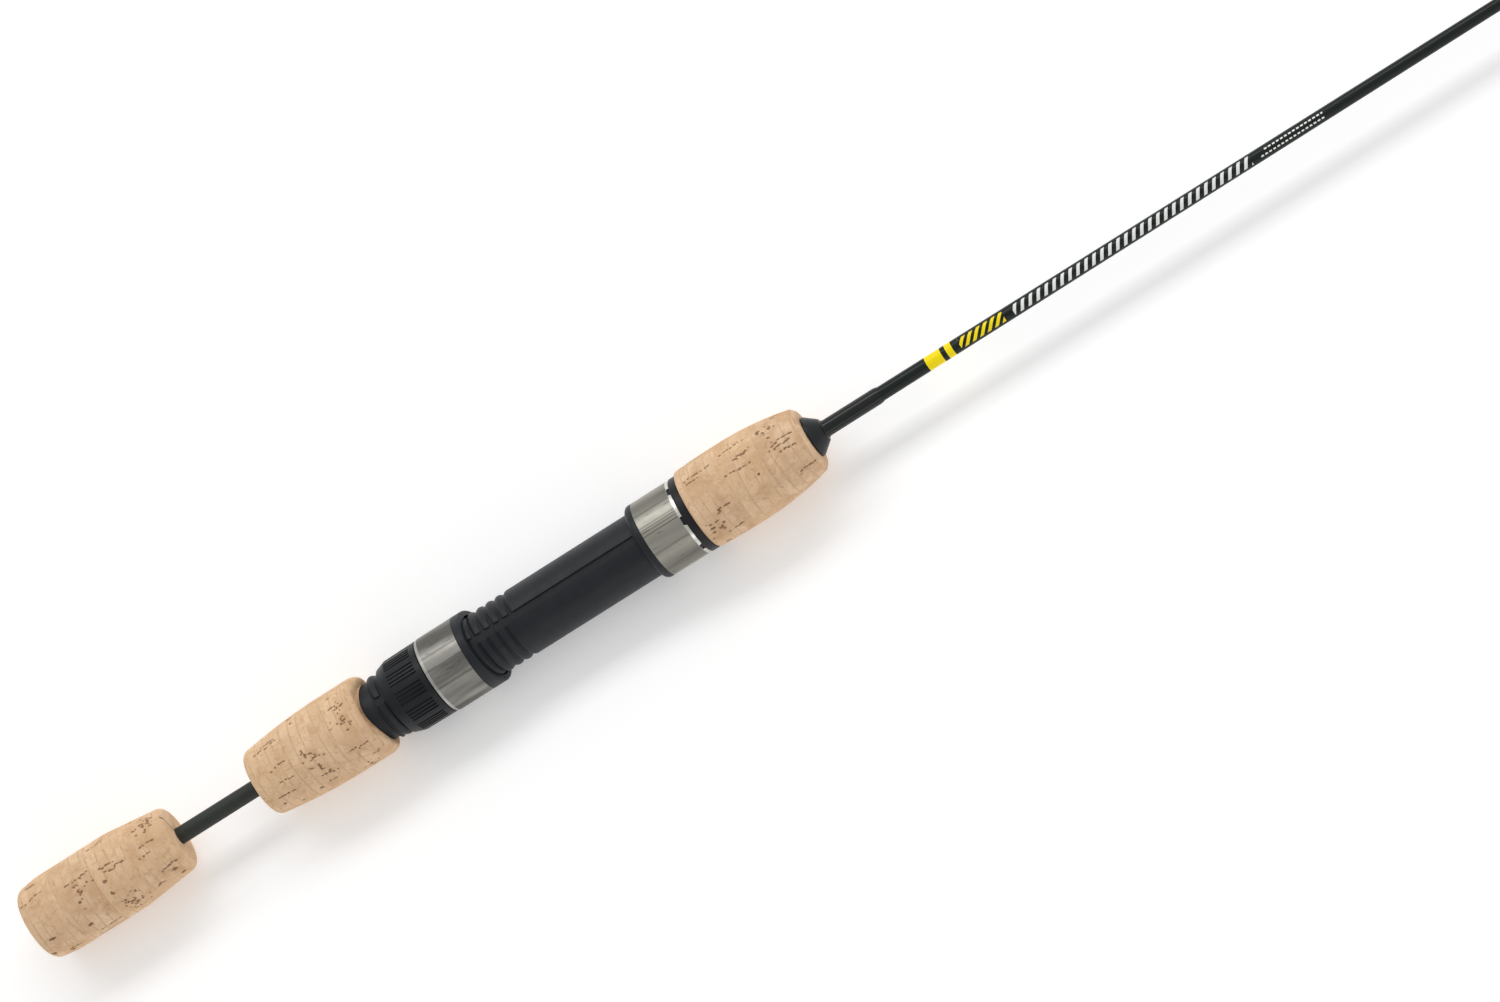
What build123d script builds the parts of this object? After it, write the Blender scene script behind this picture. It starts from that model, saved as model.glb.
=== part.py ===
from build123d import *
from math import asin, ceil, cos, degrees, radians, sin, sqrt
import os

os.makedirs("parts", exist_ok=True)

# Ice fishing rod, in millimetres. X runs along the rod from the butt to the tip and Z is up.
# The reel hangs under the rod, so the saddle and the line guides face -Z.

# ---- Whole rod ----
rod_length = 711.0
glue_gap = 0.05
film_gap = 0.01

# ---- Blank: a solid carbon rod with a long slow taper and a short quick one ----
blank_butt_diameter = 5.2
blank_shoulder_diameter = 3.64
blank_tip_diameter = 1.6
quick_taper_length = 224.0
blank_butt_inset = 4.0
blank_tip_inset = 3.0

# ---- Cork grips, each glued up from cork rings ----
cork_ring_length = 12.7
butt_grip_length = 49.5
butt_grip_radius = 11.95
butt_grip_rear_radius = 10.9
butt_grip_front_radius = 9.85
butt_grip_straight_start = 7.5
butt_grip_straight_end = 31.0
butt_grip_belly_round = 12.0
butt_grip_rear_round = 3.0
butt_grip_front_round = 2.2
bare_blank_length = 28.0
mid_grip_length = 40.7
mid_grip_wall = 2.0
mid_grip_rear_radius = 9.9
mid_grip_rear_round = 2.4
mid_grip_front_round = 3.2
mid_grip_flare_length = 28.0
fore_grip_length = 38.3
fore_grip_radius = 12.55
fore_grip_rear_radius = 12.15
fore_grip_front_radius = 9.6
fore_grip_swell_start = 13.0
fore_grip_swell_end = 15.5
fore_grip_rear_round = 0.9
fore_grip_front_chamfer = 1.2

# ---- Reel seat body, a moulding whose axis lies a little below the blank's axis ----
seat_drop = 1.3
seat_bore_diameter = 10.0
seat_body_radius = 9.8
seat_neck_step = 0.9
seat_tenon_length = 8.0
seat_neck_length = 1.1
seat_length = 106.8
saddle_depth = 6.0
keyway_width = 2.5
keyway_depth = 0.65
keyway_end_gap = 0.2

# ---- Right-hand thread on the seat body ----
thread_pitch = 3.1
thread_depth = 0.7
thread_root_land = 0.3
thread_crest_flat_angle = 10.0
thread_lead_in = 0.4
thread_end_gap = 41.3

# ---- Fixed hood at the front of the seat ----
fixed_hood_length = 15.1
fixed_hood_rim_round = 1.75
fixed_hood_rim_land = 0.8
foot_pocket_room = 0.8
foot_pocket_depth = 9.0
hood_wall = 1.03
hood_sleeve_wall = 0.38
crimp_notch_count = 7
crimp_notch_width = 2.8
crimp_notch_length = 0.75
crimp_notch_angle = 17.4
front_ring_length = 2.6
front_ring_proud = 0.09
front_ring_round = 0.35

# ---- Moving hood and its locking nut ----
moving_hood_gap = 0.15
moving_hood_rear = 18.7
moving_hood_length = 16.65
moving_hood_slant = 2.03
moving_hood_lip = 2.22
moving_hood_rim_round = 0.75
sleeve_bevel_length = 0.9
sleeve_bevel_depth = 0.2
nut_length = 13.3
nut_gap = 0.3
nut_rear_wall = 0.3
nut_shoulder_wall = 1.35
nut_front_wall = 1.5
nut_shoulder_length = 3.0
nut_shoulder_round = 3.0
rib_flank_play = 0.18
rib_tip_play = 0.2
rib_crest_flat_angle = 12.0
knurl_groups = 12
knurl_grooves = 4
knurl_angle = 107.0
knurl_groove_pitch = 5.6
knurl_groove_radius = 0.35
knurl_groove_depth = 0.36
knurl_length = 8.6
knurl_front_gap = 1.7
collar_length = 2.3
collar_bead_length = 1.0
collar_wall = 0.55
collar_bead_height = 0.25
collar_gap = 0.12
key_gap = 0.2
key_root = 0.3

# ---- Arbors that centre the blank in the seat ----
arbor_length = 15.0
arbor_inset = 6.0

# ---- Winding check and the long wrap in front of the fore grip ----
check_base_radius = 6.2
check_rim_length = 0.7
check_rim_round = 0.3
check_nose_radius = 3.4
check_length = 4.2
butt_wrap_length = 16.3
butt_wrap_coat_tail = 2.4
thread_layer = 0.17
coat_layer = 0.14
coat_edge = 0.06
coat_fillet_length = 1.1
coat_fillet_height = 0.77

# ---- Line guides: distance back from the tip, ring bore and ring centre height ----
guide_tip_distances = (206.0, 136.0, 79.0, 34.0)
guide_bores = (6.0, 5.0, 4.0, 3.5)
guide_heights = (8.0, 6.7, 5.5, 4.8)
guide_ring_wall = 0.75
guide_ring_length = 1.3
guide_ring_land = 0.5
guide_collar_wall = 0.45
guide_collar_length = 0.9
guide_leg_length = 1.4
guide_leg_lean = 2.6
guide_leg_thickness = 0.8
guide_leg_top_width_ratio = 1.1
guide_leg_top_height_ratio = 0.75
guide_foot_length = 9.0
guide_foot_thickness = 0.6
guide_foot_width_ratio = 1.5
guide_foot_gap = 0.02
guide_thread_clear = 0.6
guide_coat_tail = 1.3

# ---- Tip-top ----
tip_tube_length = 9.0
tip_tube_wall = 0.35
tip_ring_height = 4.4
tip_ring_bore = 3.0
tip_brace_length = 4.5
tip_brace_height_ratio = 0.9
tip_wrap_length = 5.0

# ---- Stations along the rod ----
x_butt_front = butt_grip_length
x_mid_rear = x_butt_front + bare_blank_length
x_mid_front = x_mid_rear + mid_grip_length
x_seat_rear = x_mid_front - seat_tenon_length
x_seat_front = x_mid_front + seat_length - front_ring_length
x_fixed_hood_rear = x_seat_front - fixed_hood_length
x_fixed_rim_front = x_fixed_hood_rear + fixed_hood_rim_round + fixed_hood_rim_land
x_thread_start = x_mid_front + seat_neck_length
x_thread_end = x_fixed_hood_rear - thread_end_gap
x_ring_front = x_seat_front + front_ring_length
x_fore_front = x_ring_front + fore_grip_length
x_check_front = x_fore_front + check_length
x_wrap_front = x_check_front + butt_wrap_length
x_blank_shoulder = rod_length - quick_taper_length
x_blank_tip = rod_length - blank_tip_inset
x_nut_rear = x_mid_front + moving_hood_rear - nut_gap - nut_length
x_nut_front = x_nut_rear + nut_length
x_hood_rear = x_nut_front + nut_gap
x_hood_mouth = x_hood_rear + moving_hood_length

# ---- Radii that follow from the seat body's ----
seat_neck_radius = seat_body_radius - seat_neck_step
mid_grip_radius = seat_drop + seat_neck_radius + glue_gap + mid_grip_wall
foot_pocket_radius = seat_body_radius + foot_pocket_room
hood_radius = foot_pocket_radius + hood_wall
front_ring_radius = hood_radius + front_ring_proud
hood_bore_radius = seat_body_radius + moving_hood_gap
nut_rear_radius = hood_bore_radius + nut_rear_wall
nut_shoulder_radius = hood_bore_radius + nut_shoulder_wall
nut_front_radius = hood_bore_radius + nut_front_wall
collar_radius = hood_bore_radius + collar_wall
collar_bead_radius = collar_radius + collar_bead_height

seat_axis = Axis((0, 0, -seat_drop), (1, 0, 0))
seat_plane = Plane.XY.offset(-seat_drop)
seat_core_radius = hood_radius - hood_sleeve_wall - glue_gap
seat_bore_radius = seat_bore_diameter / 2


def section_at(x, drop=0.0):
    """Plane across the rod at station x, with its own X along row Y and its own Y along row Z."""
    return Plane(origin=(x, 0, -drop), x_dir=(0, 1, 0), z_dir=(1, 0, 0))


def blank_radius(x):
    """Radius of the blank at station x, from its two straight tapers."""
    if x < x_blank_shoulder:
        share = x / x_blank_shoulder
        return (blank_butt_diameter + share * (blank_shoulder_diameter - blank_butt_diameter)) / 2
    share = (x - x_blank_shoulder) / quick_taper_length
    return (blank_shoulder_diameter + share * (blank_tip_diameter - blank_shoulder_diameter)) / 2


def blank_bore(x_start, x_end, gap=glue_gap):
    """The room that the tapered blank takes in a piece that is glued over it."""
    knees = [x for x in (x_start, x_blank_shoulder, x_end) if x_start <= x <= x_end]
    with BuildPart() as room:
        with BuildSketch():
            with BuildLine():
                Polyline([(x, blank_radius(x) + gap) for x in knees])
                Polyline(
                    (x_end, blank_radius(x_end) + gap),
                    (x_end, 0),
                    (x_start, 0),
                    (x_start, blank_radius(x_start) + gap),
                )
            make_face()
        revolve(axis=Axis.X)
    return room.part


def finish(piece, name):
    """Labels a finished piece and writes it as its own node."""
    piece.part.label = name
    export_step(piece.part, f"parts/{name}.step")


# ---- Blank ----
with BuildPart() as blank:
    with BuildSketch():
        with BuildLine():
            Polyline(
                (blank_butt_inset, 0),
                (blank_butt_inset, blank_radius(blank_butt_inset)),
                (x_blank_shoulder, blank_radius(x_blank_shoulder)),
                (x_blank_tip, blank_radius(x_blank_tip)),
                (x_blank_tip, 0),
                close=True,
            )
        make_face()
    revolve(axis=Axis.X)
finish(blank, "blank")


def outline_corners(outline):
    """Corners of a grip's half outline that don't lie on the rod's axis, from rear to front."""
    return outline.vertices().filter_by_position(Axis.Y, 1, 50).sort_by(Axis.X)


def split_into_cork_rings(x_rear, x_front):
    """Cuts the grip being built at its glue joints, one cork ring from the next."""
    ring_count = round((x_front - x_rear) / cork_ring_length)
    ring_length = (x_front - x_rear) / ring_count
    for joint in range(1, ring_count):
        split(bisect_by=Plane.YZ.offset(x_rear + joint * ring_length), keep=Keep.BOTH)


# ---- Butt grip ----
with BuildPart() as butt_grip:
    with BuildSketch() as butt_outline:
        with BuildLine():
            Polyline(
                (0, 0),
                (0, butt_grip_rear_radius),
                (butt_grip_straight_start, butt_grip_radius),
                (butt_grip_straight_end, butt_grip_radius),
                (x_butt_front, butt_grip_front_radius),
                (x_butt_front, 0),
                close=True,
            )
        make_face()
        fillet(outline_corners(butt_outline)[0], butt_grip_rear_round)
        fillet(butt_outline.vertices().sort_by(Axis.Y)[-2:], butt_grip_belly_round)
        fillet(outline_corners(butt_outline)[-1], butt_grip_front_round)
    revolve(axis=Axis.X)
    add(blank_bore(blank_butt_inset - glue_gap, x_butt_front + 1), mode=Mode.SUBTRACT)
    split_into_cork_rings(0, x_butt_front)
finish(butt_grip, "butt_grip")

# ---- Mid grip, flared towards the reel seat and counterbored for the seat's tenon ----
with BuildPart() as mid_grip:
    with BuildSketch() as mid_outline:
        with BuildLine():
            Polyline(
                (x_mid_rear + mid_grip_flare_length, mid_grip_radius),
                (x_mid_front, mid_grip_radius),
                (x_mid_front, 0),
                (x_mid_rear, 0),
                (x_mid_rear, mid_grip_rear_radius),
            )
            TangentArc(
                (x_mid_rear + mid_grip_flare_length, mid_grip_radius),
                (x_mid_rear, mid_grip_rear_radius),
                tangent=(-1, 0),
            )
        make_face()
        fillet(outline_corners(mid_outline)[0], mid_grip_rear_round)
        fillet(outline_corners(mid_outline)[-1], mid_grip_front_round)
    revolve(axis=Axis.X)
    add(blank_bore(x_mid_rear - 1, x_mid_front + 1), mode=Mode.SUBTRACT)
    with BuildSketch(section_at(x_seat_rear - glue_gap, seat_drop)):
        Circle(seat_neck_radius + glue_gap)
    extrude(amount=seat_tenon_length + 1, mode=Mode.SUBTRACT)
    split_into_cork_rings(x_mid_rear, x_mid_front)
finish(mid_grip, "mid_grip")

# ---- Fore grip ----
with BuildPart() as fore_grip:
    with BuildSketch() as fore_outline:
        swell_start = (x_ring_front + fore_grip_swell_start, fore_grip_radius)
        swell_end = (x_ring_front + fore_grip_swell_end, fore_grip_radius)
        rear_corner = (x_ring_front, fore_grip_rear_radius)
        front_corner = (x_fore_front, fore_grip_front_radius)
        with BuildLine():
            TangentArc(swell_start, rear_corner, tangent=(-1, 0))
            Line(swell_start, swell_end)
            TangentArc(swell_end, front_corner, tangent=(1, 0))
            Polyline(front_corner, (x_fore_front, 0), (x_ring_front, 0), rear_corner)
        make_face()
        fillet(outline_corners(fore_outline)[0], fore_grip_rear_round)
        chamfer(outline_corners(fore_outline)[-1], fore_grip_front_chamfer)
    revolve(axis=Axis.X)
    add(blank_bore(x_ring_front - 1, x_fore_front + 1), mode=Mode.SUBTRACT)
    split_into_cork_rings(x_ring_front, x_fore_front)
finish(fore_grip, "fore_grip")


# ---- Reel seat body ----
thread_half_width = (thread_pitch - thread_root_land) / 2
thread_crest_round = (thread_half_width**2 + thread_depth**2) / (2 * thread_depth)
thread_turns = ceil((x_thread_end - x_thread_start) / thread_pitch + 1 / 2)


def thread_path(first_turn, turns):
    """Centre line of the thread groove, starting whole turns back from the thread's end."""
    x_start = x_thread_end - first_turn * thread_pitch
    with BuildLine() as path:
        Helix(thread_pitch, turns * thread_pitch, seat_body_radius, (x_start, 0, -seat_drop), (1, 0, 0))
    return path.line


def flank_point(angle, ease):
    """A point on the round of a thread ridge, measured from the groove's centre at the crest."""
    crest_round = thread_crest_round + ease
    along = thread_pitch / 2 - crest_round * sin(radians(angle))
    down = thread_crest_round - crest_round * cos(radians(angle))
    return (along, -down)


def thread_section(path, ease, root_depth, crest_angle, reach):
    """Section of the thread between two round ridges; ease is the play left on each flank."""
    crest_round = thread_crest_round + ease
    root_angle = degrees(asin(sqrt(crest_round**2 - (thread_crest_round - root_depth) ** 2) / crest_round))
    crest = flank_point(crest_angle, ease)
    middle = flank_point((crest_angle + root_angle) / 2, ease)
    root = flank_point(root_angle, ease)
    with BuildSketch(Plane(origin=path @ 0, x_dir=(1, 0, 0), z_dir=path % 0)) as section:
        with BuildLine():
            Polyline((-crest[0], crest[1]), (-crest[0], reach), (crest[0], reach), crest)
            ThreePointArc(crest, middle, root)
            Line(root, (-root[0], root[1]))
            ThreePointArc((-root[0], root[1]), (-middle[0], middle[1]), (-crest[0], crest[1]))
        make_face()
    return section.sketch


with BuildPart() as seat_body:
    with BuildSketch(seat_plane) as seat_outline:
        with BuildLine():
            Polyline(
                (x_seat_rear, 0),
                (x_seat_rear, seat_neck_radius),
                (x_thread_start, seat_neck_radius),
                (x_thread_start + thread_lead_in, seat_body_radius),
                (x_fixed_hood_rear, seat_body_radius),
                (x_fixed_hood_rear, hood_radius),
                (x_fixed_rim_front, hood_radius),
                (x_fixed_rim_front, seat_core_radius),
                (x_seat_front, seat_core_radius),
                (x_seat_front, 0),
                close=True,
            )
        make_face()
        rim = seat_outline.vertices().group_by(Axis.Y)[-1].sort_by(Axis.X)[0]
        fillet(rim, fixed_hood_rim_round)
    revolve(axis=seat_axis)
    # The flat that the reel foot sits on runs from the neck into the fixed hood.
    with BuildSketch(section_at(x_thread_start, seat_drop)):
        with Locations((0, -saddle_depth)):
            Rectangle(4 * hood_radius, 4 * hood_radius, align=(Align.CENTER, Align.MAX))
    extrude(amount=x_fixed_hood_rear - x_thread_start, mode=Mode.SUBTRACT)
    with BuildSketch(section_at(x_fixed_hood_rear, seat_drop)):
        Circle(foot_pocket_radius)
        with Locations((0, -saddle_depth)):
            Rectangle(4 * hood_radius, 4 * hood_radius, align=(Align.CENTER, Align.MIN), mode=Mode.SUBTRACT)
    extrude(amount=foot_pocket_depth, mode=Mode.SUBTRACT)
    # Keyway along the top, which stops the moving hood from turning.
    with BuildSketch(section_at(x_thread_start, seat_drop)):
        with Locations((0, seat_body_radius - keyway_depth)):
            Rectangle(keyway_width, 2, align=(Align.CENTER, Align.MIN))
    extrude(amount=x_fixed_hood_rear - keyway_end_gap - x_thread_start, mode=Mode.SUBTRACT)
    groove_path = thread_path(thread_turns, thread_turns)
    groove = thread_section(groove_path, 0, thread_depth, thread_crest_flat_angle, thread_depth)
    sweep(groove, path=groove_path, is_frenet=True, mode=Mode.SUBTRACT)
    with BuildSketch(section_at(x_seat_rear - 1)):
        Circle(seat_bore_radius)
    extrude(amount=x_seat_front - x_seat_rear + 2, mode=Mode.SUBTRACT)
finish(seat_body, "seat_body")

# ---- Arbors ----
for arbor_name, x_arbor in (
    ("seat_arbor_rear", x_seat_rear + arbor_inset),
    ("seat_arbor_front", x_seat_front - arbor_inset - arbor_length),
):
    with BuildPart() as arbor:
        with BuildSketch(section_at(x_arbor)):
            Circle(seat_bore_radius - glue_gap)
        extrude(amount=arbor_length)
        add(blank_bore(x_arbor - 1, x_arbor + arbor_length + 1), mode=Mode.SUBTRACT)
    finish(arbor, arbor_name)

# ---- Steel sleeve of the fixed hood, crimped over the seat's front edge ----
x_fixed_sleeve_rear = x_fixed_rim_front + glue_gap
with BuildPart() as fixed_hood_sleeve:
    with BuildSketch(seat_plane):
        with BuildLine():
            Polyline(
                (x_fixed_sleeve_rear, seat_core_radius + glue_gap),
                (x_fixed_sleeve_rear, hood_radius - sleeve_bevel_depth / 2),
                (x_fixed_sleeve_rear + sleeve_bevel_depth / 2, hood_radius),
                (x_seat_front - sleeve_bevel_length, hood_radius),
                (x_seat_front, hood_radius - sleeve_bevel_depth),
                (x_seat_front, seat_core_radius + glue_gap),
                close=True,
            )
        make_face()
    revolve(axis=seat_axis)
    with BuildSketch(section_at(x_seat_front, seat_drop)):
        with PolarLocations(hood_radius, crimp_notch_count, start_angle=90 + crimp_notch_angle):
            Rectangle(3 * hood_sleeve_wall, crimp_notch_width)
    extrude(amount=-crimp_notch_length, mode=Mode.SUBTRACT)
finish(fixed_hood_sleeve, "fixed_hood_sleeve")

# ---- Trim ring between the seat and the fore grip ----
with BuildPart() as seat_front_ring:
    with BuildSketch(seat_plane) as ring_outline:
        with BuildLine():
            Polyline(
                (x_seat_front + glue_gap, 0),
                (x_seat_front + glue_gap, front_ring_radius),
                (x_ring_front - glue_gap, front_ring_radius),
                (x_ring_front - glue_gap, 0),
                close=True,
            )
        make_face()
        fillet(ring_outline.vertices().group_by(Axis.Y)[-1], front_ring_round)
    revolve(axis=seat_axis)
    add(blank_bore(x_seat_front - 1, x_ring_front + 1), mode=Mode.SUBTRACT)
finish(seat_front_ring, "seat_front_ring")

# ---- Moving hood liner: it slides on the seat body and holds the rear of the reel foot ----
x_moving_sleeve_front = x_hood_mouth - moving_hood_slant - moving_hood_lip
x_bead_front = x_nut_front + collar_length + collar_gap
x_bead_rear = x_nut_front + collar_length - collar_bead_length - collar_gap
with BuildPart() as moving_hood_liner:
    with BuildSketch(seat_plane):
        with BuildLine():
            Polyline(
                (x_hood_rear, collar_radius + collar_gap),
                (x_hood_rear, seat_core_radius),
                (x_moving_sleeve_front, seat_core_radius),
                (x_moving_sleeve_front, hood_radius),
                (x_hood_mouth + 2 * moving_hood_slant, hood_radius),
                (x_hood_mouth + 2 * moving_hood_slant, hood_bore_radius),
                (x_bead_front, hood_bore_radius),
                (x_bead_front, collar_bead_radius + collar_gap),
                (x_bead_rear, collar_bead_radius + collar_gap),
                (x_bead_rear, collar_radius + collar_gap),
                close=True,
            )
        make_face()
    revolve(axis=seat_axis)
    # Pocket for the reel foot.
    x_pocket = x_hood_mouth + moving_hood_slant - foot_pocket_depth
    with BuildSketch(section_at(x_pocket, seat_drop)):
        Circle(foot_pocket_radius)
        with Locations((0, -saddle_depth)):
            Rectangle(4 * hood_radius, 4 * hood_radius, align=(Align.CENTER, Align.MIN), mode=Mode.SUBTRACT)
    extrude(amount=2 * foot_pocket_depth, mode=Mode.SUBTRACT)
    # The mouth slopes, longest over the reel foot.
    mouth_normal = (hood_radius, 0, moving_hood_slant)
    split(bisect_by=Plane(origin=(x_hood_mouth, 0, -seat_drop), z_dir=mouth_normal), keep=Keep.BOTTOM)
    mouth_edges = moving_hood_liner.edges().group_by(Axis(origin=(0, 0, 0), direction=mouth_normal))[-1]
    fillet(mouth_edges.sort_by(SortBy.LENGTH)[-1], moving_hood_rim_round)
    # Key that runs in the seat's keyway.
    with BuildSketch(section_at(x_bead_front + collar_gap, seat_drop)):
        key_foot = seat_body_radius - keyway_depth + key_gap
        with Locations((0, key_foot)):
            Rectangle(
                keyway_width - 2 * key_gap,
                hood_bore_radius + key_root - key_foot,
                align=(Align.CENTER, Align.MIN),
            )
    extrude(amount=foot_pocket_depth)
finish(moving_hood_liner, "moving_hood_liner")

# ---- Steel sleeve of the moving hood ----
with BuildPart() as moving_hood_sleeve:
    with BuildSketch(seat_plane):
        with BuildLine():
            Polyline(
                (x_hood_rear, seat_core_radius + glue_gap),
                (x_hood_rear, hood_radius - sleeve_bevel_depth),
                (x_hood_rear + sleeve_bevel_length, hood_radius),
                (x_moving_sleeve_front - glue_gap, hood_radius),
                (x_moving_sleeve_front - glue_gap, seat_core_radius + glue_gap),
                close=True,
            )
        make_face()
    revolve(axis=seat_axis)
finish(moving_hood_sleeve, "moving_hood_sleeve")

# ---- Locking nut: knurled outside, one thread rib inside, snap collar into the hood ----
rib_first_turn = int((x_thread_end - x_nut_rear) / thread_pitch - 1 / 2)
x_rib_start = x_thread_end - rib_first_turn * thread_pitch
rib_turns = int((x_nut_front - x_rib_start) / thread_pitch - 1 / 2)
rib_depth = thread_depth - rib_tip_play
rib_reach = nut_rear_radius - seat_body_radius - glue_gap
with BuildPart() as locking_nut:
    with BuildSketch(seat_plane) as nut_outline:
        with BuildLine():
            Polyline(
                (x_nut_rear, hood_bore_radius),
                (x_nut_rear, nut_rear_radius),
                (x_nut_rear + nut_shoulder_length, nut_shoulder_radius),
                (x_nut_front, nut_front_radius),
                (x_nut_front, collar_radius),
                (x_nut_front + collar_length - collar_bead_length, collar_radius),
                (x_nut_front + collar_length - collar_bead_length, collar_bead_radius),
                (x_nut_front + collar_length, collar_bead_radius),
                (x_nut_front + collar_length, hood_bore_radius),
                close=True,
            )
        make_face()
        shoulder = nut_outline.vertices().sort_by(Axis.Y)[-2]
        fillet(shoulder, nut_shoulder_round)
    revolve(axis=seat_axis)
    x_knurl_end = x_nut_front - knurl_front_gap
    knurl_radius = nut_shoulder_radius + knurl_groove_radius - knurl_groove_depth
    with BuildSketch(section_at(x_knurl_end, seat_drop)):
        for groove_index in range(knurl_grooves):
            turn = (groove_index - (knurl_grooves - 1) / 2) * knurl_groove_pitch
            with PolarLocations(knurl_radius, knurl_groups, start_angle=knurl_angle + turn):
                Circle(knurl_groove_radius)
    extrude(amount=-knurl_length, mode=Mode.SUBTRACT)
    rib_path = thread_path(rib_first_turn, rib_turns)
    rib = thread_section(rib_path, rib_flank_play, rib_depth, rib_crest_flat_angle, rib_reach)
    sweep(rib, path=rib_path, is_frenet=True)
finish(locking_nut, "locking_nut")

# ---- Winding check: a black cone that closes the fore grip's bore ----
with BuildPart() as winding_check:
    with BuildSketch():
        with BuildLine():
            Polyline(
                (x_fore_front + glue_gap, 0),
                (x_fore_front + glue_gap, check_base_radius),
                (x_fore_front + check_rim_length, check_base_radius),
                (x_check_front, check_nose_radius),
                (x_check_front, 0),
                close=True,
            )
        make_face()
    revolve(axis=Axis.X)
    rim_edges = winding_check.edges().filter_by(GeomType.CIRCLE).sort_by(SortBy.RADIUS)[-2:]
    fillet(rim_edges.sort_by(Axis.X)[-1], check_rim_round)
    add(blank_bore(x_fore_front - 1, x_check_front + 1), mode=Mode.SUBTRACT)
finish(winding_check, "winding_check")

# ---- Long wrap ahead of the check, and its clear coat ----
with BuildPart() as butt_wrap_thread:
    with BuildSketch():
        with BuildLine():
            Polyline(
                (x_check_front + glue_gap, 0),
                (x_check_front + glue_gap, blank_radius(x_check_front) + thread_layer),
                (x_wrap_front, blank_radius(x_wrap_front) + thread_layer),
                (x_wrap_front, 0),
                close=True,
            )
        make_face()
    revolve(axis=Axis.X)
    add(blank_bore(x_check_front - 1, x_wrap_front + 1, film_gap), mode=Mode.SUBTRACT)
finish(butt_wrap_thread, "butt_wrap_thread")

with BuildPart() as butt_wrap_coat:
    with BuildSketch():
        rear_radius = blank_radius(x_check_front) + thread_layer
        front_radius = blank_radius(x_wrap_front) + thread_layer
        bulge_end = x_wrap_front + butt_wrap_coat_tail
        fillet_top = (x_check_front + glue_gap, rear_radius + coat_layer + coat_fillet_height)
        fillet_foot = (x_check_front + glue_gap + coat_fillet_length, rear_radius + coat_layer)
        bulge_start = (x_wrap_front, front_radius + coat_layer)
        bulge_foot = (bulge_end, blank_radius(bulge_end) + coat_edge)
        with BuildLine():
            TangentArc(fillet_foot, fillet_top, tangent=(-1, 0))
            Line(fillet_foot, bulge_start)
            TangentArc(bulge_start, bulge_foot, tangent=(1, 0))
            Polyline(
                bulge_foot,
                (bulge_end, blank_radius(bulge_end) + film_gap),
                (x_wrap_front + film_gap, blank_radius(x_wrap_front) + film_gap),
                (x_wrap_front + film_gap, front_radius + film_gap),
                (x_check_front + glue_gap, rear_radius + film_gap),
                fillet_top,
            )
        make_face()
    revolve(axis=Axis.X)
finish(butt_wrap_coat, "butt_wrap_coat")


# ---- Line guides ----
def ring_solid(x_ring, height, bore_radius):
    """Ceramic ring: a short straight land with rounded shoulders."""
    with BuildPart() as ring:
        with BuildSketch(Plane.XY.offset(-height)) as ring_section:
            with Locations((x_ring, bore_radius + guide_ring_wall / 2)):
                Rectangle(guide_ring_length, guide_ring_wall)
            bore_corners = ring_section.vertices().group_by(Axis.Y)[0]
            fillet(bore_corners, (guide_ring_length - guide_ring_land) / 2)
        revolve(axis=Axis((0, 0, -height), (1, 0, 0)))
    return ring


def collar_radii(bore_radius):
    """Inner and outer radius of the metal collar that holds a ceramic ring."""
    inner = bore_radius + guide_ring_wall + film_gap
    return inner, inner + guide_collar_wall


def wrap_cover(x_tail, x_head, rise, layer):
    """Body of thread laid over the blank and over a foot that thickens towards x_head."""
    tail_radius = blank_radius(x_tail) + layer
    head_radius = blank_radius(x_head) + layer
    with BuildPart() as cover:
        with BuildSketch(section_at(x_tail)):
            Ellipse(tail_radius, tail_radius)
        with BuildSketch(section_at(x_head, rise / 2)):
            Ellipse(head_radius, head_radius + rise / 2)
        loft()
    return cover.part


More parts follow.
